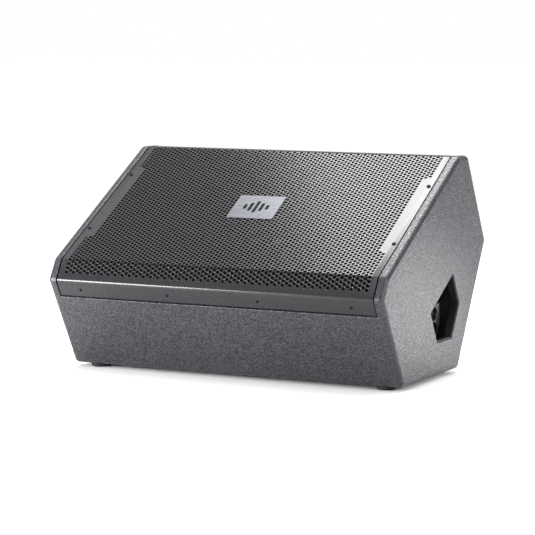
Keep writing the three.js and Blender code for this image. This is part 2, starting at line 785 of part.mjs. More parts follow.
['right', 'left'].forEach((side) => {
  const handed = (solid) => (side === 'right' ? solid : mirrored(solid));
  const sidePlate = side === 'right' ? plate.subtract(switchSlot) : plate;
  place(upright, `handle_cup_${side}`, handed(cup), 'blackPlastic');
  place(upright, `input_plate_${side}`, handed(sidePlate), 'platePaint');
  socketSpots.forEach(({ y, z }, i) => {
    const solid = solidOf(moved(socket.clone(), PLATE_FACE_X, y, z));
    place(upright, `socket_${side}_${i === 0 ? 'lower' : 'upper'}`, handed(solid), 'blackPlastic');
  });
});

const housingFront = PLATE_FACE_X - PLATE_THICK - GAP;
const shoe = { thick: 3, height: 9.4, length: SWITCH.knob + 6 };
const cavityHalf = (shoe.length + SWITCH.travel) / 2 + GAP;
place(upright, 'mode_switch_housing', block(
  [housingFront - SWITCH.depth, housingFront],
  [SWITCH.y - SWITCH.width / 2, SWITCH.y + SWITCH.width / 2],
  [SWITCH.z - SWITCH.height / 2, SWITCH.z + SWITCH.height / 2],
).subtract(block(
  [housingFront - shoe.thick - 2 * GAP, housingFront + 1],
  [SWITCH.y - cavityHalf, SWITCH.y + cavityHalf],
  [SWITCH.z - shoe.height / 2 - GAP, SWITCH.z + shoe.height / 2 + GAP],
)), 'blackPlastic');

const knobStart = slotStart + GAP;
const knobMiddle = knobStart + SWITCH.knob / 2;
place(upright, 'mode_switch_slider', joined([
  block(
    [housingFront - shoe.thick - GAP, housingFront - GAP],
    [knobMiddle - shoe.length / 2, knobMiddle + shoe.length / 2],
    [SWITCH.z - shoe.height / 2, SWITCH.z + shoe.height / 2],
  ),
  block(
    [housingFront - shoe.thick, PLATE_FACE_X + 3],
    [knobStart, knobStart + SWITCH.knob],
    [SWITCH.z - SWITCH.slotHeight / 2 + GAP, SWITCH.z + SWITCH.slotHeight / 2 - GAP],
  ),
]), 'blackPlastic');

// ---- Crossover on the bottom board ----

const BOARD_X = [110, 250];
const BOARD_Y = [90, 190];
const boardBottom = BOARD + GAP + 6;
const boardFoot = drum(4, BOARD + GAP, boardBottom + 1, 10);
const boardFeet = [BOARD_X[0] + 8, BOARD_X[1] - 8].flatMap((x) => (
  [BOARD_Y[0] + 8, BOARD_Y[1] - 8].map((y) => solidOf(moved(boardFoot.clone(), x, y, 0)))
));
place(upright, 'crossover_board', joined([
  block(BOARD_X, BOARD_Y, [boardBottom, boardBottom + 2]),
  ...boardFeet,
]), 'boardGreen');

const onBoard = boardBottom + 2 + GAP;
[[140, 120], [212, 158]].forEach(([x, y], i) => {
  const coil = turnedRing([[12, 0], [26, 0], [26, 22], [12, 22]], 18);
  place(upright, `inductor_${i + 1}`, moved(coil, x, y, onBoard), 'copper');
});
const capacitor = alongX(drum(14, -24, 24, 20));
place(upright, 'capacitor', moved(capacitor, 206, 110, onBoard + 14), 'capacitorFilm');

// ---- Leads inside the cabinet, as soft curves ----

function lead(points, radius) {
  const curve = new THREE.CatmullRomCurve3(points.map(([x, y, z]) => new THREE.Vector3(x, y, z)));
  const wire = new THREE.Shape();
  wire.absarc(0, 0, radius, 0, 2 * Math.PI, false);
  return new THREE.ExtrudeGeometry(wire, {
    steps: 12,
    curveSegments: 3,
    bevelEnabled: false,
    extrudePath: curve,
  });
}

const WOOFER_LEAD = [[120, 176, 26], [112, 172, 60], [75.5, 168, 130], [40, 150, 170], [-2, 140, 214]];
const DRIVER_LEAD = [[236, 128, 26], [240, 118, 60], [232, 118, 100], [222, 130, 128]];
place(upright, 'woofer_lead', lead(WOOFER_LEAD, LEAD_RADIUS), 'rubber');
place(upright, 'driver_lead', lead(DRIVER_LEAD, LEAD_RADIUS), 'rubber');

export default wedge;
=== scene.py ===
"""Stage monitor wedge: shapes, finishes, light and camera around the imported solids.

Metres in the finished scene, +X to the right seen from the low front edge, +Y towards the back, +Z up.
Pieces are drawn in millimetres, most of them in slope coordinates (x, a, b): a runs up the sloping face
from the front panel, b is square to it, and (0, 0, 0) is the bottom front edge of the cabinet.
"""
import math

import bmesh
import bpy
from mathutils import Matrix, Vector


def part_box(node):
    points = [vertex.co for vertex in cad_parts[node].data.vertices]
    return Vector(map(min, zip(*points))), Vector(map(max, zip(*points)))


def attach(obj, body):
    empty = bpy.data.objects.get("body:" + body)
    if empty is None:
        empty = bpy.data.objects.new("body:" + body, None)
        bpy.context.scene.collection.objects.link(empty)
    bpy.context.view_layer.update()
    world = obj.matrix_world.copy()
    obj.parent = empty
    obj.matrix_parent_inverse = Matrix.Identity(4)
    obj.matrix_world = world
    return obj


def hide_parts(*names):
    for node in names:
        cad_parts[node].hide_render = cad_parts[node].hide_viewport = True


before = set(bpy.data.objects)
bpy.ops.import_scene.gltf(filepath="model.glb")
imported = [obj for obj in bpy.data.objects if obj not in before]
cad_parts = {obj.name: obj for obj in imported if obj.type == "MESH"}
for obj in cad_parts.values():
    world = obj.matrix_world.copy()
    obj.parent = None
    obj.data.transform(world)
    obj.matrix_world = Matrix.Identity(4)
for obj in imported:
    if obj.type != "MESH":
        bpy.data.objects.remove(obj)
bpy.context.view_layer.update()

# ---- Sizes in millimetres ----

WIDTH = 718.0
SLOPE_LENGTH = 490.0
SIDE_RISE = 204.0
CHAMFER_RUN = 42.0
TILT = math.radians(30)
CHAMFER_RISE = CHAMFER_RUN * math.tan(TILT)
FACE_HEIGHT = SIDE_RISE + CHAMFER_RISE
MIDDLE = SLOPE_LENGTH / 2
KEEL_DROP = MIDDLE * math.tan(TILT)
FOOT_HEIGHT = 8.0
FOOT_X = 313.0
FOOT_INSET_Y = 26.0
FRONT_EDGE_Y = (SIDE_RISE * math.sin(TILT) - SLOPE_LENGTH * math.cos(TILT)) / 2

FIT_GAP = 0.3
# Cutting shapes reach this far past what they cut.
OVERSHOOT = 5.0
# Points closer than this to a plane count as lying on it.
NEAR = 0.01
# Edges that turn by more than this are shaded as sharp.
SHARP_DEGREES = 38

END_INNER_X = 341.0
END_ROUNDOVER = 9.5
END_ARRIS = 1.2
CORNER_RADIUS = 12.0
BOARD = 15.0
BOARD_ARRIS = 1.5
BAFFLE_TOP = 198.0
HAND_HOLE = [(179.5, 42.7), (310.5, 42.7), (310.5, -27), (245, -64.5), (179.5, -27)]
HOLE_CORNER = 2.5
HOLE_RIM_OUTER = 3.0
HOLE_RIM_INNER = 1.5
COLLAR_GAP = 0.1
COLLAR_WALL = 1.3
COLLAR_CORNER = 1.5

GRILLE_INSET = 1.0
GRILLE_SHEET = 1.5
GRILLE_HALF_X = 338.2
GRILLE_TOP = FACE_HEIGHT - GRILLE_INSET
LIP_DEPTH = 36.0
LIP_GAP = 4.0
LIP_GROOVE = 7.0
SOFT_BEND = 8.0
SHARP_BEND = 4.0
HOLE_PITCH = 9.06
HOLE_RADIUS = 3.82
HOLE_SIDES = 8
# Columns of holes on each side of the middle one, and rows above and below it.
HOLE_COLUMNS = 41
HOLE_ROWS = 25
# The outer columns stay plain along this much of the sheet, for the side screws.
TAB_COLUMNS = 2
TAB_HALF = 123.0
# A line of edges this far from each bend keeps the flats beside it flat.
FLAT_SUPPORT = 0.6

LIP_SCREW_X = (-290.5, -97.0, 97.0, 290.5)
LIP_SCREW_DROP = 20.8
SIDE_SCREW_X = 330.8
SIDE_SCREW_A = 97.5
# Screws: head radius, head height, length of shank.
SIDE_SCREW = (4.3, 2.2, 13.0)
LIP_SCREW = (3.2, 1.7, 11.0)
FOOT_SCREW = (4.6, 1.8, 1.2)
PLATE_SCREW = (3.4, 1.8, 2.0)
SHANK_RADIUS = 2.0
HEAD_GAP = 0.02

CUP_OUTLINE = [(132, 195), (293, 195), (293, 86), (278, 60), (132, 60)]
CUP_CORNER = 8.0
CUP_FLOOR_X = 290.0
CUP_WALL = 2.0
CUP_FLANGE = 10.0
CUP_STEP_Z = 128.0
CUP_LEDGE = 6.0
PLATE_FACE_X = 313.0
PLATE_THICK = 2.5
PLATE_HOLE_RADIUS = 12.3
SWITCH_TRAVEL = 6.0
SOCKET_Y = 257.0
SOCKET_Z = (79.0, 110.0)

MM = 0.001
UPRIGHT = Matrix.Translation((0, FRONT_EDGE_Y * MM, FOOT_HEIGHT * MM)) @ Matrix.Scale(MM, 4)
SLOPE = UPRIGHT @ Matrix.Rotation(TILT, 4, "X")

OUTLINE = [
    (0, 0),
    (0, SIDE_RISE),
    (CHAMFER_RUN, FACE_HEIGHT),
    (SLOPE_LENGTH - CHAMFER_RUN, FACE_HEIGHT),
    (SLOPE_LENGTH, SIDE_RISE),
    (SLOPE_LENGTH, 0),
    (MIDDLE, -KEEL_DROP),
]


# ---- Materials ----

def linear(code):
    """An sRGB hex colour as linear red, green, blue and alpha."""
    channels = [int(code[i:i + 2], 16) / 255 for i in (0, 2, 4)]
    return [c / 12.92 if c <= 0.04045 else ((c + 0.055) / 1.055) ** 2.4 for c in channels] + [1.0]


def add_node(owner, kind, inputs=None, **settings):
    """Adds a node to a material or world. Settings are its properties; inputs are values or sockets."""
    node = owner.node_tree.nodes.new(kind)
    for name, value in settings.items():
        setattr(node, name, value)
    for socket, value in (inputs or {}).items():
        if isinstance(value, bpy.types.NodeSocket):
            owner.node_tree.links.new(value, node.inputs[socket])
        else:
            node.inputs[socket].default_value = value
    return node


def new_material(name):
    """An empty node material, and its Object coordinates to build on."""
    material = bpy.data.materials.new(name)
    material.use_nodes = True
    material.node_tree.nodes.clear()
    place = add_node(material, "ShaderNodeTexCoord").outputs["Object"]
    return material, place


def add_bump(material, height, strength, depth, **settings):
    """Turns a height into a surface normal; depth is in metres."""
    inputs = {"Height": height, "Strength": strength, "Distance": depth}
    return add_node(material, "ShaderNodeBump", inputs, **settings).outputs["Normal"]


def finish_material(material, inputs):
    """Closes the material with a Principled shader that has these inputs."""
    shader = add_node(material, "ShaderNodeBsdfPrincipled", inputs)
    add_node(material, "ShaderNodeOutputMaterial", {"Surface": shader.outputs["BSDF"]})
    return material


def two_tone(material, factor, low, high, dark, light):
    """A colour ramp from dark below low to light above high."""
    ramp = add_node(material, "ShaderNodeValToRGB", {"Fac": factor})
    ramp.color_ramp.elements[0].position = low
    ramp.color_ramp.elements[0].color = linear(dark)
    ramp.color_ramp.elements[1].position = high
    ramp.color_ramp.elements[1].color = linear(light)
    return ramp.outputs["Color"]


def sprayed_polyurea():
    """Sprayed polyurea cabinet coat: charcoal, with a tight pebble of 2 mm grains that glint one by one."""
    material, place = new_material("sprayed_polyurea")
    # The turn keeps every board of the cabinet off the planes of the grain lattice.
    turned = add_node(material, "ShaderNodeMapping", {"Vector": place, "Rotation": (0.61, 0.37, 0.83)})
    grains = add_node(material, "ShaderNodeTexVoronoi",
                      {"Vector": turned.outputs["Vector"], "Scale": 1 / 0.0021, "Randomness": 1.0})
    gloss = add_node(material, "ShaderNodeMapRange",
                     {"Value": grains.outputs["Color"], "To Min": 0.5, "To Max": 0.2})
    return finish_material(material, {
        "Base Color": two_tone(material, grains.outputs["Color"], 0.25, 0.8, "060607", "3c3b43"),
        "Roughness": gloss.outputs["Result"],
        "Normal": add_bump(material, grains.outputs["Distance"], 0.7, 0.0007, invert=True),
        "IOR": 1.5,
    })


def powder_coated_steel():
    """Satin black powder coat on sheet steel: smooth, with a faint 1 mm orange peel."""
    material, place = new_material("powder_coated_steel")
    peel = add_node(material, "ShaderNodeTexNoise", {"Vector": place, "Scale": 1 / 0.001, "Detail": 2.0})
    return finish_material(material, {
        "Base Color": two_tone(material, peel.outputs["Fac"], 0.3, 0.7, "1a1a1d", "222225"),
        "Roughness": 0.25,
        "Normal": add_bump(material, peel.outputs["Fac"], 0.18, 0.0002),
        "IOR": 1.45,
    })


def acoustic_foam():
    """Reticulated open-cell foam, black, 1.5 mm cells, with painted shade darkening each cell's middle."""
    material, place = new_material("acoustic_foam")
    cells = add_node(material, "ShaderNodeTexVoronoi", {"Vector": place, "Scale": 1 / 0.0015},
                     feature="DISTANCE_TO_EDGE")
    return finish_material(material, {
        # Painted shade: each cell goes from near black at its struts to a darker black in its middle.
        "Base Color": two_tone(material, cells.outputs["Distance"], 0.0, 0.3, "0c0c0d", "020202"),
        "Roughness": 0.95,
        "Normal": add_bump(material, cells.outputs["Distance"], 1.0, 0.001),
        "Specular IOR Level": 0.1,
    })


def grained(name, dark, light, grain_mm, roughness, metallic=0.0, bump_mm=0.1, strength=0.3, ior=1.5):
    """A plain finish with a fine random grain in its colour and surface."""
    material, place = new_material(name)
    grain = add_node(material, "ShaderNodeTexNoise",
                     {"Vector": place, "Scale": 1000 / grain_mm, "Detail": 3.0})
    rough = add_node(material, "ShaderNodeMapRange", {
        "Value": grain.outputs["Fac"],
        "To Min": roughness - 0.05,
        "To Max": roughness + 0.05,
    })
    return finish_material(material, {
        "Base Color": two_tone(material, grain.outputs["Fac"], 0.35, 0.65, dark, light),
        "Roughness": rough.outputs["Result"],
        "Metallic": metallic,
        "IOR": ior,
        "Normal": add_bump(material, grain.outputs["Fac"], strength, bump_mm * MM),
    })


def brushed(name, dark, light, roughness):
    """A metal rubbed one way: streaks 0.4 mm wide and 40 mm long along x."""
    material, place = new_material(name)
    stretched = add_node(material, "ShaderNodeMapping", {"Vector": place, "Scale": (25.0, 2500.0, 2500.0)})
    streaks = add_node(material, "ShaderNodeTexNoise",
                       {"Vector": stretched.outputs["Vector"], "Scale": 1.0, "Detail": 3.0})
    return finish_material(material, {
        "Base Color": two_tone(material, streaks.outputs["Fac"], 0.3, 0.7, dark, light),
        "Metallic": 1.0,
        "Roughness": roughness,
        "Normal": add_bump(material, streaks.outputs["Fac"], 0.15, 0.0001),
    })


def birch_plywood():
    """Birch plywood: pale rotary-cut face with long soft figure."""
    material, place = new_material("birch_plywood")
    stretched = add_node(material, "ShaderNodeMapping", {"Vector": place, "Scale": (6.0, 60.0, 60.0)})
    figure = add_node(material, "ShaderNodeTexNoise", {
        "Vector": stretched.outputs["Vector"],
        "Scale": 1.0,
        "Detail": 6.0,
        "Distortion": 1.2,
    })
    return finish_material(material, {
        "Base Color": two_tone(material, figure.outputs["Fac"], 0.3, 0.7, "a07a4c", "c9a673"),
        "Roughness": 0.65,
        "Normal": add_bump(material, figure.outputs["Fac"], 0.2, 0.0003),
    })


COAT = sprayed_polyurea()
POWDER = powder_coated_steel()
FOAM = acoustic_foam()
PLYWOOD = birch_plywood()
# Grey sheen drawn out along the badge.
BADGE_METAL = brushed("satin_aluminium", "505155", "66676c", 0.38)
# Flat black that stays dark under every light.
BADGE_INK = grained("pad_printed_ink", "040405", "08080a", 0.4, 0.85, ior=1.3)
# Near-black metal with a soft sheen on the screws' heads.
BLACK_OXIDE = grained("black_oxide_steel", "141416", "26262a", 0.3, 0.35, metallic=0.9)
# Pale bright metal with small glints.
ZINC = grained("zinc_plated_steel", "9fa1a6", "c3c5ca", 0.5, 0.25, metallic=1.0)
# Dull black with a slight tooth.
RUBBER = grained("moulded_rubber", "0e0e0f", "18181a", 0.8, 0.8, bump_mm=0.15)
# Black moulding with a fine eroded texture.
ABS = grained("moulded_abs", "0b0b0d", "141417", 0.9, 0.45, bump_mm=0.12)
# A little lighter and shinier than the moulding around it.
NYLON = grained("glass_filled_nylon", "101013", "1b1b1f", 0.5, 0.4)
# Mid grey satin that catches light inside the dark pocket.
PLATE_PAINT = grained("baked_enamel_grey", "74747c", "86868e", 0.6, 0.42)
# Black wood that vanishes behind the grille.
STAINED = grained("black_stained_birch", "080809", "121213", 1.5, 0.7)
# Dark casting with a coarse skin.
CAST = grained("painted_die_casting", "1b1b1e", "2a2a2e", 0.7, 0.5, metallic=0.3)
# Fibrous matt black of a cone.
PAPER = grained("pulp_paper_cone", "161515", "232121", 1.2, 0.85, bump_mm=0.4, strength=0.6)
# Brown woven cloth stiffened with resin.
CLOTH = grained("doped_cloth", "2a221a", "3d3226", 0.7, 0.8, bump_mm=0.3, strength=0.8)
# Warm metal in lines, like wound wire.
COPPER = brushed("enamelled_copper", "8a4b2a", "b06a3e", 0.3)
# Green laminate with a satin mask.
CIRCUIT = grained("glass_epoxy_board", "173c29", "225038", 0.5, 0.45)
# Smooth blue wrap with a clear highlight.
FILM = grained("polyester_film", "22408a", "2d4f9e", 1.5, 0.3)

for names, material in (
    ("centre_brace", PLYWOOD),
    ("baffle_board grille_cleat_left grille_cleat_right", STAINED),
    ("grille_foam", FOAM),
    ("grille_post_front grille_post_rear horn port_tube_front port_tube_rear driver_cap", ABS),
    ("mode_switch_housing", ABS),
    ("mode_switch_slider", NYLON),
    ("woofer_frame", CAST),
    ("woofer_motor compression_driver", ZINC),
    ("woofer_cone dust_cap", PAPER),
    ("surround spider", CLOTH),
    ("voice_coil inductor_1 inductor_2", COPPER),
    ("woofer_gasket woofer_lead driver_lead", RUBBER),
    ("crossover_board", CIRCUIT),
    ("capacitor", FILM),
):
    for name in names.split():
        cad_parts[name].material_slots[0].material = material


# ---- Making pieces ----

def mesh_from(bm, name):
    """Writes a bmesh to a new mesh and frees it."""
    mesh = bpy.data.meshes.new(name)
    bm.to_mesh(mesh)
    bm.free()
    return mesh


def add_object(name, data):
    """Links a new object to the scene."""
    item = bpy.data.objects.new(name, data)
    bpy.context.scene.collection.objects.link(item)
    return item


def finish_piece(name, bm, material, stands_for=(), place=SLOPE, hand_shaded=False):
    """Turns a finished bmesh in millimetres into a piece of the cabinet. Its shading follows the angles
    of its edges, unless the bmesh already says which edges and faces are smooth."""
    bmesh.ops.transform(bm, matrix=place, verts=bm.verts)
    bmesh.ops.remove_doubles(bm, verts=bm.verts, dist=1e-6)
    bmesh.ops.recalc_face_normals(bm, faces=bm.faces)
    mesh = mesh_from(bm, name)
    if not hand_shaded:
        mesh.shade_smooth()
        mesh.set_sharp_from_angle(angle=math.radians(SHARP_DEGREES))
    mesh.materials.append(material)
    piece = add_object(name, mesh)
    if not hand_shaded:
        normals = piece.modifiers.new("flat faces stay flat", "WEIGHTED_NORMAL")
        normals.keep_sharp = True
    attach(piece, "cabinet")
    if stands_for:
        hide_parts(*stands_for)


def outline_face(bm, points, x):
    """Adds a flat face across x from the points of an outline."""
    return bm.faces.new([bm.verts.new((x, p, q)) for p, q in points])


def round_corners(bm, verts, radius, segments):
    """Rounds flat corners to one radius, whatever their angles."""
    for vert in list(verts):
        one, two = [(edge.other_vert(vert).co - vert.co).normalized() for edge in vert.link_edges]
        half = one.angle(two) / 2
        bmesh.ops.bevel(bm, geom=[vert], offset=radius / math.tan(half), offset_type="OFFSET",
                        segments=segments, profile=0.5, affect="VERTICES", material=-1)


def split(bm, point, normal, merge=1e-4, clear=False):
    """Adds edges where a plane meets the mesh; clear throws away what lies on the normal's side."""
    bmesh.ops.bisect_plane(bm, geom=bm.verts[:] + bm.edges[:] + bm.faces[:], dist=merge, plane_co=point,
                           plane_no=normal, clear_outer=clear)


def trim(bm, point, normal):
    """Cuts a solid or a flat face with a plane and throws away what lies on the normal's side."""
    solid = not any(edge.is_boundary for edge in bm.edges)
    split(bm, point, normal, clear=True)
    if solid:
        bmesh.ops.holes_fill(bm, edges=[edge for edge in bm.edges if edge.is_boundary])


def slab(points, x0, x1, corner=0.0, above=None, below=None):
    """A plate between two planes across x, with rounded corners, kept above or below a height."""
    bm = bmesh.new()
    face = outline_face(bm, points, x0)
    if corner:
        round_corners(bm, face.verts, corner, 4)
    if above is not None:
        trim(bm, (0, 0, above), (0, 0, -1))
    if below is not None:
        trim(bm, (0, 0, below), (0, 0, 1))
    push(bm, x1 - x0)
    return bm


def push(bm, distance):
    """Extrudes the flat faces along x into a closed solid."""
    result = bmesh.ops.extrude_face_region(bm, geom=bm.faces[:], use_keep_orig=True)
    moved = [g for g in result["geom"] if isinstance(g, bmesh.types.BMVert)]
    bmesh.ops.translate(bm, verts=moved, vec=(distance, 0, 0))
    bmesh.ops.recalc_face_normals(bm, faces=bm.faces)


def round_edges(bm, edges, radius, segments):
    """Rounds these edges to one radius."""
    bmesh.ops.bevel(bm, geom=edges, offset=radius, offset_type="OFFSET", segments=segments, profile=0.5,
                    affect="EDGES", material=-1)


def sharp_edges(bm, inside):
    """The edges that turn by more than 25 degrees and whose two ends pass the test."""
    found = []
    for edge in bm.edges:
        if edge.calc_face_angle(0) > math.radians(25) and all(inside(vert.co) for vert in edge.verts):
            found.append(edge)
    return found


def carve(bm, cutter, operation="DIFFERENCE"):
    """Cuts one closed bmesh out of another, or joins it on, with an exact boolean."""
    objects = []
    for part in (bm, cutter):
        bmesh.ops.recalc_face_normals(part, faces=part.faces)
        objects.append(add_object("carving", mesh_from(part, "carving")))
    cut = objects[0].modifiers.new("cut", "BOOLEAN")
    cut.operation = operation
    cut.solver = "EXACT"
    cut.object = objects[1]
    evaluated = objects[0].evaluated_get(bpy.context.evaluated_depsgraph_get())
    result = bmesh.new()
    result.from_mesh(evaluated.to_mesh())
    for item in objects:
        mesh = item.data
        bpy.data.objects.remove(item)
        bpy.data.meshes.remove(mesh)
    return result


def box(bm, xs, ys, zs):
    """Adds a box between these pairs of coordinates."""
    size = Vector((xs[1] - xs[0], ys[1] - ys[0], zs[1] - zs[0]))
    centre = Vector((sum(xs), sum(ys), sum(zs))) / 2
    matrix = Matrix.Translation(centre) @ Matrix.Diagonal(size.to_4d())
    bmesh.ops.create_cube(bm, size=1.0, matrix=matrix)


def spun(profile, segments):
    """A turned part about z from a profile of (radius, height) pairs."""
    bm = bmesh.new()
    verts = [bm.verts.new((r, 0, h)) for r, h in profile]
    edges = [bm.edges.new(pair) for pair in zip(verts, verts[1:])]
    bmesh.ops.spin(bm, geom=verts + edges, cent=(0, 0, 0), axis=(0, 0, 1), angle=math.tau,
                   steps=segments, use_merge=True)
    bmesh.ops.remove_doubles(bm, verts=bm.verts, dist=1e-4)
    bmesh.ops.recalc_face_normals(bm, faces=bm.faces)
    return bm


def mirrored_if_left(bm, side):
    """Pieces of the two ends are drawn for the right one."""
    if side == "left":
        bmesh.ops.scale(bm, verts=bm.verts, vec=(-1, 1, 1))
    return bm


def inset_outline(points, distance):
    """Moves the edges of a clockwise outline inwards."""
    lines = []
    for (p0, q0), (p1, q1) in zip(points, points[1:] + points[:1]):
        length = math.hypot(p1 - p0, q1 - q0)
        along = Vector(((p1 - p0) / length, (q1 - q0) / length))
        lines.append((Vector((p0, q0)) + Vector((along.y, -along.x)) * distance, along))
    result = []
    for i, (start, along) in enumerate(lines):
        before, before_along = lines[i - 1]
        step = (start - before).cross(along) / before_along.cross(along)
        result.append(tuple(before + before_along * step))
    return result


# ---- Cabinet boards, coated as one skin ----

SEAT_BOTTOM = SIDE_RISE - LIP_DEPTH - LIP_GAP


def prism(points, x, length, corner):
    """A bar along x with this outline, its corners rounded in three steps."""
    bm = bmesh.new()
    outline = outline_face(bm, points, x)
    round_corners(bm, outline.verts, corner, 3)
    push(bm, length)
    return bm


def end_panel(side):
    """One end: rounded outline and rims, a softened arris beside the grille and a softened hand hole."""
    bm = bmesh.new()
    outer = outline_face(bm, OUTLINE, END_INNER_X)
    round_corners(bm, outer.verts, CORNER_RADIUS, 6)
    push(bm, WIDTH / 2 - END_INNER_X)
    round_edges(bm, sharp_edges(bm, lambda co: co.x > WIDTH / 2 - NEAR), END_ROUNDOVER, 6)

    split(bm, (0, 0, SEAT_BOTTOM), (0, 0, 1))
    beside_grille = sharp_edges(bm, lambda co: abs(co.x - END_INNER_X) < NEAR and co.z > SEAT_BOTTOM - NEAR)
    round_edges(bm, beside_grille, END_ARRIS, 2)

    bm = carve(bm, prism(HAND_HOLE, END_INNER_X - OVERSHOOT, WIDTH, HOLE_CORNER))
    by_hole = inset_outline(HAND_HOLE, -8)
    for x, radius in ((WIDTH / 2, HOLE_RIM_OUTER), (END_INNER_X, HOLE_RIM_INNER)):
        round_edges(bm, sharp_edges(bm, lambda co: abs(co.x - x) < NEAR and within(by_hole, co)), radius, 3)
    return mirrored_if_left(bm, side)


def within(points, co):
    """Whether a point lies inside a convex clockwise outline."""
    for (p0, q0), (p1, q1) in zip(points, points[1:] + points[:1]):
        if (p1 - p0) * (co.z - q0) - (q1 - q0) * (co.y - p0) > 0:
            return False
    return True


def shell_board(first, last):
    """The board along one stretch of the outline, mitred at both corners."""
    bm = bmesh.new()
    outer = outline_face(bm, OUTLINE, -END_INNER_X)
    round_corners(bm, outer.verts, CORNER_RADIUS, 6)
    inner_points = inset_outline(OUTLINE, BOARD)
    start, end = (Vector((0, *inner_points[i])) for i in (first, last))
    inward = (end - start).cross(Vector((1, 0, 0)))
    middle = Vector((0, MIDDLE, SIDE_RISE / 2))
    if inward.dot(middle - start) < 0:
        inward = -inward
    trim(bm, start, inward)
    for corner, keep in ((first, last), (last, first)):
        at = Vector((0, *OUTLINE[corner]))
        mitre = Vector((0, *inner_points[corner])) - at
        normal = mitre.cross(Vector((1, 0, 0)))
        if normal.dot(Vector((0, *OUTLINE[keep])) - at) > 0:
            normal = -normal
        trim(bm, at, normal)
    push(bm, 2 * END_INNER_X)
    return bm


def upright_board(front):
    """The front or rear upper board: cut level with the baffle, stepped back behind the grille's lip and
    grooved below it."""
    bm = shell_board(0, 1) if front else shell_board(5, 4)
    trim(bm, (0, 0, BAFFLE_TOP), (0, 0, 1))
    seat_depth = GRILLE_INSET + GRILLE_SHEET + FIT_GAP
    for depth, top in ((seat_depth, FACE_HEIGHT), (LIP_GROOVE, SEAT_BOTTOM + LIP_GAP)):
        cutter = bmesh.new()
        across = (-OVERSHOOT, depth) if front else (SLOPE_LENGTH - depth, SLOPE_LENGTH + OVERSHOOT)
        box(cutter, (-WIDTH, WIDTH), across, (SEAT_BOTTOM, top))
        bm = carve(bm, cutter)
    face = 0 if front else SLOPE_LENGTH
    arris = sharp_edges(bm, lambda co: abs(co.z - SEAT_BOTTOM) < NEAR and abs(co.y - face) < NEAR)
    round_edges(bm, arris, BOARD_ARRIS, 3)
    return bm


def hole_collar_and_shade(side):
    """The thin moulded collar that lines the walls of a hand hole; its black is also painted shade on those
    walls.
    """
    start = END_INNER_X + HOLE_RIM_INNER + COLLAR_GAP
    end = WIDTH / 2 - HOLE_RIM_OUTER - COLLAR_GAP
    bm = prism(inset_outline(HAND_HOLE, COLLAR_GAP), start, end - start, HOLE_CORNER - COLLAR_GAP)
    inside = inset_outline(HAND_HOLE, COLLAR_GAP + COLLAR_WALL)
    return mirrored_if_left(carve(bm, prism(inside, END_INNER_X - OVERSHOOT, WIDTH, COLLAR_CORNER)), side)


for side in ("left", "right"):
    finish_piece(f"{side}_end", end_panel(side), COAT, [f"{side}_end_panel"])
    # A moulded collar whose black also paints the shade that falls on the hole walls.
    finish_piece(f"{side}_hole_collar_and_shade", hole_collar_and_shade(side), ABS)
finish_piece("front_board", upright_board(True), COAT, ["front_panel"])
finish_piece("rear_upper_board", upright_board(False), COAT, ["rear_upper_panel"])
finish_piece("rear_lower_board", shell_board(5, 6), COAT, ["rear_lower_panel"])
finish_piece("bottom_board", shell_board(6, 0), COAT, ["bottom_panel"])


# ---- Perforated grille: punched flat, then folded ----

COLUMN_STEP = HOLE_PITCH * math.cos(math.radians(30))
FOLD_MERGE = 1e-3


def cell(punched):
    """One cell of the flat sheet, with or without its hole, as a mesh about the origin. Plain cells are
    marked by material index 1."""
    bm = bmesh.new()
    bmesh.ops.create_grid(bm, x_segments=1, y_segments=2, size=0.5)
    bmesh.ops.scale(bm, verts=bm.verts, vec=(COLUMN_STEP, HOLE_PITCH, 1))
    bmesh.ops.dissolve_edges(bm, edges=[edge for edge in bm.edges if not edge.is_boundary])
    if punched:
        bmesh.ops.delete(bm, geom=list(bm.faces), context="FACES_ONLY")
        bmesh.ops.create_circle(bm, segments=HOLE_SIDES, radius=HOLE_RADIUS,
                                matrix=Matrix.Rotation(math.pi / HOLE_SIDES, 4, "Z"))
        bmesh.ops.bridge_loops(bm, edges=list(bm.edges))
    for face in bm.faces:
        face.material_index = 0 if punched else 1
    return mesh_from(bm, "cell")


def add_copy(bm, mesh, x, y):
    """Appends a copy of a mesh, moved in its plane."""
    count = len(bm.verts)
    bm.from_mesh(mesh)
    bm.verts.ensure_lookup_table()
    bmesh.ops.translate(bm, verts=bm.verts[count:], vec=(x, y, 0))


def punched_blank(reach):
    """The flat sheet, centred on the middle of the sloping face."""
    cells = {punched: cell(punched) for punched in (True, False)}
    columns = {}
    blank = bmesh.new()
    row_limit = math.ceil(reach / HOLE_PITCH) + 1
    field_half = (HOLE_ROWS + 0.7) * HOLE_PITCH
    for column in range(-HOLE_COLUMNS - TAB_COLUMNS, HOLE_COLUMNS + TAB_COLUMNS + 1):
        odd = column % 2
        tab = abs(column) > HOLE_COLUMNS - TAB_COLUMNS
        blind = abs(column) > HOLE_COLUMNS
        if (odd, tab, blind) not in columns:
            strip = bmesh.new()
            for row in range(-row_limit, row_limit + 1):
                y = (row + odd / 2) * HOLE_PITCH
                punched = abs(y) < field_half and not blind and not (tab and abs(y) < TAB_HALF)
                add_copy(strip, cells[punched], 0, y)
            columns[(odd, tab, blind)] = mesh_from(strip, "strip")
        add_copy(blank, columns[(odd, tab, blind)], column * COLUMN_STEP, 0)
    for mesh in [*cells.values(), *columns.values()]:
        bpy.data.meshes.remove(mesh)
    bmesh.ops.remove_doubles(blank, verts=blank.verts, dist=0.01)
    plain = [edge for edge in blank.edges if len(edge.link_faces) == 2
             and all(face.material_index for face in edge.link_faces)
             and abs(edge.verts[0].co.y - edge.verts[1].co.y) < NEAR]
    bmesh.ops.dissolve_edges(blank, edges=plain, use_verts=True)
    for face in blank.faces:
        face.material_index = 0
    for direction in (Vector((1, 0, 0)), Vector((-1, 0, 0)), Vector((0, 1, 0)), Vector((0, -1, 0))):
        limit = GRILLE_HALF_X if direction.x else reach
        split(blank, direction * limit, direction, clear=True)
    return blank


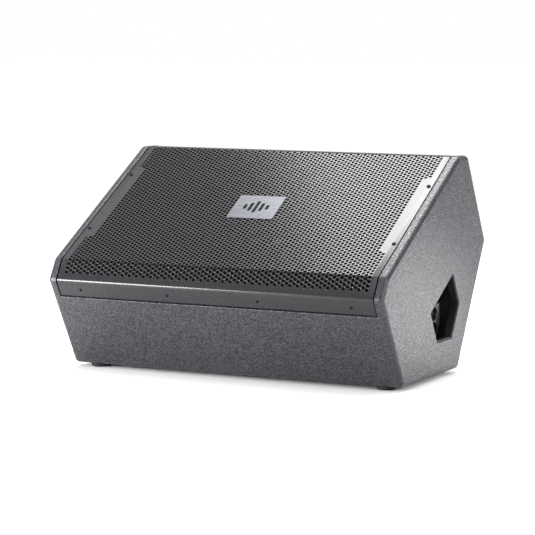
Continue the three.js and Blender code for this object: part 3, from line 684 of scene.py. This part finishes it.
def fold(bm, start, angle, radius, steps):
    """Bends both ends of the sheet down about lines across it, starting this far from its middle. A wide
    bend gets a line of edges on each side, which keeps the flats flat."""
    spacing = radius * angle / steps
    supports = (start - FLAT_SUPPORT, start + radius * angle + FLAT_SUPPORT) if steps > 2 else ()
    for side in (-1, 1):
        for support in supports:
            split(bm, (0, side * support, 0), (0, 1, 0), merge=FOLD_MERGE)
        for step in reversed(range(steps)):
            line = Vector((0, side * (start + (step + 0.5) * spacing), 0))
            split(bm, line, (0, 1, 0), merge=FOLD_MERGE)
            beyond = [v for v in bm.verts if side * (v.co.y - line.y) > FOLD_MERGE]
            turn = Matrix.Rotation(-side * angle / steps, 3, "X")
            bmesh.ops.rotate(bm, cent=line, matrix=turn, verts=beyond)


def folded_sheet():
    """The outer skin of the grille: punched, with two bends at each end, facing up."""
    corners = [Vector(point) for point in inset_outline(OUTLINE, GRILLE_INSET)]
    half_face = (corners[3] - corners[2]).length / 2
    chamfer = (corners[2] - corners[1]).length
    lip = corners[1].y - (SIDE_RISE - LIP_DEPTH)
    sharp_angle, soft_angle = TILT, math.radians(60)
    sharp_tangent = SHARP_BEND * math.tan(sharp_angle / 2)
    soft_tangent = SOFT_BEND * math.tan(soft_angle / 2)
    first_bend = half_face - sharp_tangent
    first_end = first_bend + SHARP_BEND * sharp_angle
    second_bend = first_end + chamfer - sharp_tangent - soft_tangent
    reach = second_bend + SOFT_BEND * soft_angle + lip - soft_tangent
    bm = punched_blank(reach)
    fold(bm, second_bend, soft_angle, SOFT_BEND, 7)
    fold(bm, first_bend, sharp_angle, SHARP_BEND, 2)
    bmesh.ops.recalc_face_normals(bm, faces=bm.faces)
    if sum(face.normal.z for face in bm.faces if abs(face.normal.z) > 0.99) < 0:
        bmesh.ops.reverse_faces(bm, faces=bm.faces)
    return bm


def perforated_grille():
    """The folded sheet with its thickness. The top face and the sheet's border keep crisp edges; below
    the top face the rims of the holes are shaded as soft."""
    bm = folded_sheet()
    bmesh.ops.solidify(bm, geom=bm.faces[:], thickness=GRILLE_SHEET)
    lowest = min(vert.co.z for vert in bm.verts)
    for face in bm.faces:
        face.smooth = True
    for edge in bm.edges:
        at = (edge.verts[0].co + edge.verts[1].co) / 2
        inside = abs(at.x) < GRILLE_HALF_X - 0.1 and at.z > lowest + 2
        on_top = at.z > -GRILLE_SHEET - 0.1
        edge.smooth = inside and (not on_top or edge.calc_face_angle(0) < math.radians(SHARP_DEGREES))
    bmesh.ops.translate(bm, verts=bm.verts, vec=(0, MIDDLE, GRILLE_TOP))
    return bm


finish_piece("perforated_grille", perforated_grille(), POWDER, ["grille"], hand_shaded=True)


# ---- Screws, badge, feet ----

def button_screw(head_radius, head_height, shank):
    """A button-head screw about z with a six-sided socket; z = 0 is under its head."""
    bm = spun([
        (0, -shank),
        (SHANK_RADIUS * 0.8, -shank),
        (SHANK_RADIUS, -shank + 1.5),
        (SHANK_RADIUS, 0),
        (head_radius, 0),
        (head_radius, head_height * 0.25),
        (head_radius * 0.9, head_height * 0.62),
        (head_radius * 0.7, head_height * 0.9),
        (head_radius * 0.52, head_height),
    ], 24)
    open_edges = [edge for edge in bm.edges if edge.is_boundary]
    ring = bmesh.ops.create_circle(bm, segments=6, radius=head_radius * 0.45,
                                   matrix=Matrix.Translation((0, 0, head_height)))["verts"]
    six = [edge for edge in bm.edges if all(vert in ring for vert in edge.verts)]
    bmesh.ops.bridge_loops(bm, edges=open_edges + six)
    walls = bmesh.ops.extrude_edge_only(bm, edges=six)
    low = [g for g in walls["geom"] if isinstance(g, bmesh.types.BMVert)]
    bmesh.ops.translate(bm, verts=low, vec=(0, 0, -head_height * 0.6))
    bmesh.ops.holes_fill(bm, edges=[edge for edge in bm.edges if edge.is_boundary])
    return bm


def placed(bm, matrix):
    bmesh.ops.transform(bm, matrix=matrix, verts=bm.verts)
    return bm


side_screw_spots = [(s * SIDE_SCREW_X, MIDDLE + e * SIDE_SCREW_A) for s in (-1, 1) for e in (-1, 1)]
for i, (x, a) in enumerate(side_screw_spots):
    bm = placed(button_screw(*SIDE_SCREW), Matrix.Translation((x, a, GRILLE_TOP + HEAD_GAP)))
    finish_piece(f"side_bolt_{i + 1}", bm, BLACK_OXIDE, [f"side_screw_{i + 1}"])
lip_face = GRILLE_INSET - HEAD_GAP
for where, turn, a in (("front", math.pi / 2, lip_face), ("rear", -math.pi / 2, SLOPE_LENGTH - lip_face)):
    for i, x in enumerate(LIP_SCREW_X):
        spot = Matrix.Translation((x, a, SIDE_RISE - LIP_SCREW_DROP))
        bm = placed(button_screw(*LIP_SCREW), spot @ Matrix.Rotation(turn, 4, "X"))
        finish_piece(f"{where}_lip_bolt_{i + 1}", bm, BLACK_OXIDE,
                     [f"{where}_lip_screw_{i + 1}"])

BADGE_WIDTH = 100.0
BADGE_HEIGHT = 78.0
BADGE_CORNER = 3.0
# Heights above the grille's top face.
BADGE_BACK = 0.1
BADGE_FACE = 1.9
RECESS_FLOOR = 1.4
BAR_FACE = 1.62


def badge_blank():
    """A plate with rounded corners and a softened front rim."""
    bm = bmesh.new()
    box(bm, (-BADGE_WIDTH / 2, BADGE_WIDTH / 2), (MIDDLE - BADGE_HEIGHT / 2, MIDDLE + BADGE_HEIGHT / 2),
        (GRILLE_TOP + BADGE_BACK, GRILLE_TOP + BADGE_FACE))
    uprights = [edge for edge in bm.edges if abs(edge.verts[0].co.z - edge.verts[1].co.z) > 1]
    round_edges(bm, uprights, BADGE_CORNER, 4)
    top_rim = [edge for edge in bm.edges if all(v.co.z > GRILLE_TOP + BADGE_FACE - 0.1 for v in edge.verts)]
    round_edges(bm, top_rim, 0.5, 2)
    return bm


# Five upright bars of stepped heights, a plain sound-level sign.
BAR_HEIGHTS = (16.0, 28.0, 40.0, 28.0, 16.0)
BAR_WIDTH = 7.0
BAR_STEP = 12.0


def level_bars(bottom, top, spare):
    """The five bars between two heights over the grille, each smaller by the spare all round."""
    bm = bmesh.new()
    half = BAR_WIDTH / 2 - spare
    for i, height in enumerate(BAR_HEIGHTS):
        x = (i - 2) * BAR_STEP
        half_height = height / 2 - spare
        box(bm, (x - half, x + half), (MIDDLE - half_height, MIDDLE + half_height),
            (GRILLE_TOP + bottom, GRILLE_TOP + top))
    uprights = [edge for edge in bm.edges if abs(edge.verts[0].co.z - edge.verts[1].co.z) > 0.2]
    round_edges(bm, uprights, half * 0.9, 4)
    return bm


badge = carve(badge_blank(), level_bars(RECESS_FLOOR, BADGE_FACE + 1.1, 0))
finish_piece("badge", badge, BADGE_METAL, ["badge_plate"])
finish_piece("badge_bars", level_bars(RECESS_FLOOR + 0.01, BAR_FACE, 0.05), BADGE_INK)

# Radius and height from the floor, with a recess under the foot for its screw.
FOOT_PROFILE = [
    (0, 3.2), (5.5, 3.2), (6.2, 2.6), (6.6, 0.6), (7.4, 0), (16.2, 0), (17.6, 0.5), (18.3, 1.8), (18.5, 3.2),
    (18.5, 7.0), (18.2, 7.7), (0, 7.7),
]
FOOT_RECESS = 3.1
FLOOR_RUN = MIDDLE / math.cos(TILT)
for side, x in (("left", -FOOT_X), ("right", FOOT_X)):
    for row, y in (("front", FOOT_INSET_Y), ("rear", FLOOR_RUN - FOOT_INSET_Y)):
        bm = placed(spun(FOOT_PROFILE, 48), Matrix.Translation((x, y, -FOOT_HEIGHT)))
        finish_piece(f"{side}_{row}_foot", bm, RUBBER, [f"foot_{side}_{row}"], place=UPRIGHT)
        spot = Matrix.Translation((x, y, -FOOT_HEIGHT + FOOT_RECESS))
        bm = placed(button_screw(*FOOT_SCREW), spot @ Matrix.Rotation(math.pi, 4, "X"))
        finish_piece(f"{side}_{row}_foot_screw", bm, ZINC, place=UPRIGHT)


# ---- Handle pockets ----

def facing_out(x, y, z):
    """Turns a part drawn about z so that it points out of the right end."""
    return Matrix.Translation((x, y, z)) @ Matrix.Rotation(math.pi / 2, 4, "Y")


def within_box(co, points, spare):
    """Whether a point lies inside the rectangle round an outline, in y and z."""
    return all(min(values) - spare < co[axis] < max(values) + spare
               for axis, values in zip((1, 2), zip(*points)))


def handle_cup():
    """A moulded cup: deep above for the fingers, shallow below for the input plate, flanged behind the
    panel, with a window under the plate."""
    grown = inset_outline(CUP_OUTLINE, -CUP_WALL)
    flange_x = END_INNER_X - FIT_GAP
    ledge_x = PLATE_FACE_X - PLATE_THICK
    outer_corner = CUP_CORNER + CUP_WALL
    floor = CUP_STEP_Z - CUP_WALL
    bm = slab(grown, CUP_FLOOR_X - CUP_WALL, flange_x - 1, outer_corner, above=floor)
    bm = carve(bm, slab(grown, ledge_x - CUP_WALL, flange_x - 1, outer_corner), "UNION")
    bm = carve(bm, slab(inset_outline(CUP_OUTLINE, -CUP_FLANGE), flange_x - 2, flange_x, 16), "UNION")
    bm = carve(bm, slab(CUP_OUTLINE, CUP_FLOOR_X, WIDTH, CUP_CORNER, above=CUP_STEP_Z))
    bm = carve(bm, slab(CUP_OUTLINE, ledge_x, WIDTH, CUP_CORNER))
    window = inset_outline(CUP_OUTLINE, CUP_LEDGE)
    bm = carve(bm, slab(window, ledge_x - 20, WIDTH, 4, below=CUP_STEP_Z - CUP_LEDGE))
    round_edges(bm, sharp_edges(bm, lambda co: abs(co.x - CUP_FLOOR_X) < NEAR), 3.0, 4)
    rim = sharp_edges(bm, lambda co: abs(co.x - flange_x) < NEAR and within_box(co, CUP_OUTLINE, 1))
    round_edges(bm, rim, 1.2, 2)
    return bm


def input_plate(side):
    """A steel plate with punched holes for two sockets, and on the right for the mode switch."""
    bm = slab(inset_outline(CUP_OUTLINE, FIT_GAP), PLATE_FACE_X - PLATE_THICK + 0.1, PLATE_FACE_X,
              CUP_CORNER - FIT_GAP, below=CUP_STEP_Z - FIT_GAP)
    round_edges(bm, sharp_edges(bm, lambda co: abs(co.x - PLATE_FACE_X) < NEAR), 0.9, 3)
    for z in SOCKET_Z:
        hole = bmesh.new()
        bmesh.ops.create_cone(hole, cap_ends=True, segments=40, depth=20,
                              radius1=PLATE_HOLE_RADIUS, radius2=PLATE_HOLE_RADIUS,
                              matrix=facing_out(PLATE_FACE_X, SOCKET_Y, z))
        bm = carve(bm, hole)
    if side == "right":
        slot = bmesh.new()
        low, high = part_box("mode_switch_slider")
        along = (low[1] / MM - FRONT_EDGE_Y - 1, high[1] / MM - FRONT_EDGE_Y + SWITCH_TRAVEL + 1)
        up = (low[2] / MM - FOOT_HEIGHT - 0.5, high[2] / MM - FOOT_HEIGHT + 0.5)
        box(slot, (PLATE_FACE_X - 10, PLATE_FACE_X + 10), along, up)
        bm = carve(bm, slot)
    return bm


def input_socket():
    """A round locking loudspeaker socket about z, its ring standing off the plate at z = 0."""
    return spun([
        (0, -24), (12, -24), (12, 0.05), (13.8, 0.05), (13.8, 2.6), (13.3, 3.2), (10.9, 3.2), (10.4, 2.7),
        (10.4, -10), (5.6, -10), (5.6, 1.0), (5.1, 1.5), (0, 1.5),
    ], 40)


PLATE_SCREWS = [(140, 68), (140, 122), (285, 123), (230, 68)]
for side in ("right", "left"):
    finish_piece(f"{side}_handle_cup", mirrored_if_left(handle_cup(), side), ABS,
                 [f"handle_cup_{side}"], place=UPRIGHT)
    finish_piece(f"{side}_input_plate", mirrored_if_left(input_plate(side), side), PLATE_PAINT,
                 [f"input_plate_{side}"], place=UPRIGHT)
    for level, z in zip(("lower", "upper"), SOCKET_Z):
        bm = placed(input_socket(), facing_out(PLATE_FACE_X, SOCKET_Y, z))
        finish_piece(f"{side}_{level}_socket", mirrored_if_left(bm, side), NYLON,
                     [f"socket_{side}_{level}"], place=UPRIGHT)
    for i, (y, z) in enumerate(PLATE_SCREWS):
        bm = placed(button_screw(*PLATE_SCREW), facing_out(PLATE_FACE_X + HEAD_GAP, y, z))
        finish_piece(f"{side}_plate_screw_{i + 1}", mirrored_if_left(bm, side), ZINC,
                     place=UPRIGHT)


# ---- Floor, light and camera ----

def stage_floor():
    """A wide pale floor."""
    material, place = new_material("pale_paper_sweep")
    tone = add_node(material, "ShaderNodeTexNoise", {"Vector": place, "Scale": 2.0})
    # Matt near-white paper, with no sheen of its own.
    finish_material(material, {
        "Base Color": two_tone(material, tone.outputs["Fac"], 0.3, 0.7, "f6f6f6", "fafafa"),
        "Roughness": 0.9,
        "Specular IOR Level": 0.0,
    })
    bm = bmesh.new()
    bmesh.ops.create_grid(bm, x_segments=1, y_segments=1, size=30.0)
    mesh = mesh_from(bm, "floor")
    mesh.materials.append(material)
    add_object("floor", mesh)


def softbox(name, at, target, width, height, radiance):
    """A flat soft light; radiance is what a mirror would show."""
    data = bpy.data.lights.new(name, "AREA")
    data.shape = "RECTANGLE"
    data.size = width
    data.size_y = height
    data.energy = radiance * width * height * math.pi
    lamp = add_object(name, data)
    lamp.location = at
    lamp.rotation_euler = (Vector(target) - Vector(at)).to_track_quat("-Z", "Y").to_euler()


def sky_light(strength, spread_degrees):
    """An even light from above, with very soft shadows."""
    sky = bpy.data.lights.new("sky", "SUN")
    sky.energy = strength
    sky.angle = math.radians(spread_degrees)
    add_object("sky", sky)


def studio_backdrop(lights, looks):
    """A white surround that lights the wedge at one strength and is seen at another."""
    world = bpy.data.worlds.new("studio")
    bpy.context.scene.world = world
    world.use_nodes = True
    background = world.node_tree.nodes["Background"]
    background.inputs["Color"].default_value = (1.0, 1.0, 1.0, 1.0)
    seen = add_node(world, "ShaderNodeLightPath").outputs["Is Camera Ray"]
    level = add_node(world, "ShaderNodeMapRange", {"Value": seen, "To Min": lights, "To Max": looks})
    world.node_tree.links.new(level.outputs["Result"], background.inputs["Strength"])


stage_floor()
softbox("overhead_box", (-0.26, 1.1, 2.5), (0.1, 0.1, 0.2), 1.5, 1.5, 11.5)
softbox("rear_right_box", (0.66, 0.34, 0.11), (0.36, -0.1, 0.15), 0.2, 0.18, 6.5)
softbox("right_key", (2.5, -0.6, 0.9), (0.36, 0.08, 0.1), 0.9, 0.9, 13.0)
softbox("front_left_box", (-1.08, -1.5, 0.38), (-0.2, -0.15, 0.2), 0.65, 0.5, 50.0)
sky_light(1.7, 80)
studio_backdrop(0.55, 1.0)

CAMERA_AT = (2.0063, -4.0872, 0.6999)
AZIMUTH = math.radians(26.263)
ELEVATION = math.radians(6.169)
ROLL = math.radians(0.263)
camera_data = bpy.data.cameras.new("camera")
camera_data.sensor_width = 36.0
camera_data.lens = 154.026
camera_data.shift_x = 0.0038
camera_data.shift_y = -0.0048
camera_data.clip_start = 0.1
camera_data.clip_end = 100.0
camera = add_object("camera", camera_data)
backwards = Vector((
    math.sin(AZIMUTH) * math.cos(ELEVATION),
    -math.cos(AZIMUTH) * math.cos(ELEVATION),
    math.sin(ELEVATION),
))
aim = backwards.to_track_quat("Z", "Y").to_matrix().to_4x4()
camera.matrix_world = Matrix.Translation(CAMERA_AT) @ aim @ Matrix.Rotation(ROLL, 4, "Z")
bpy.context.scene.camera = camera
bpy.context.scene.view_settings.view_transform = "Standard"
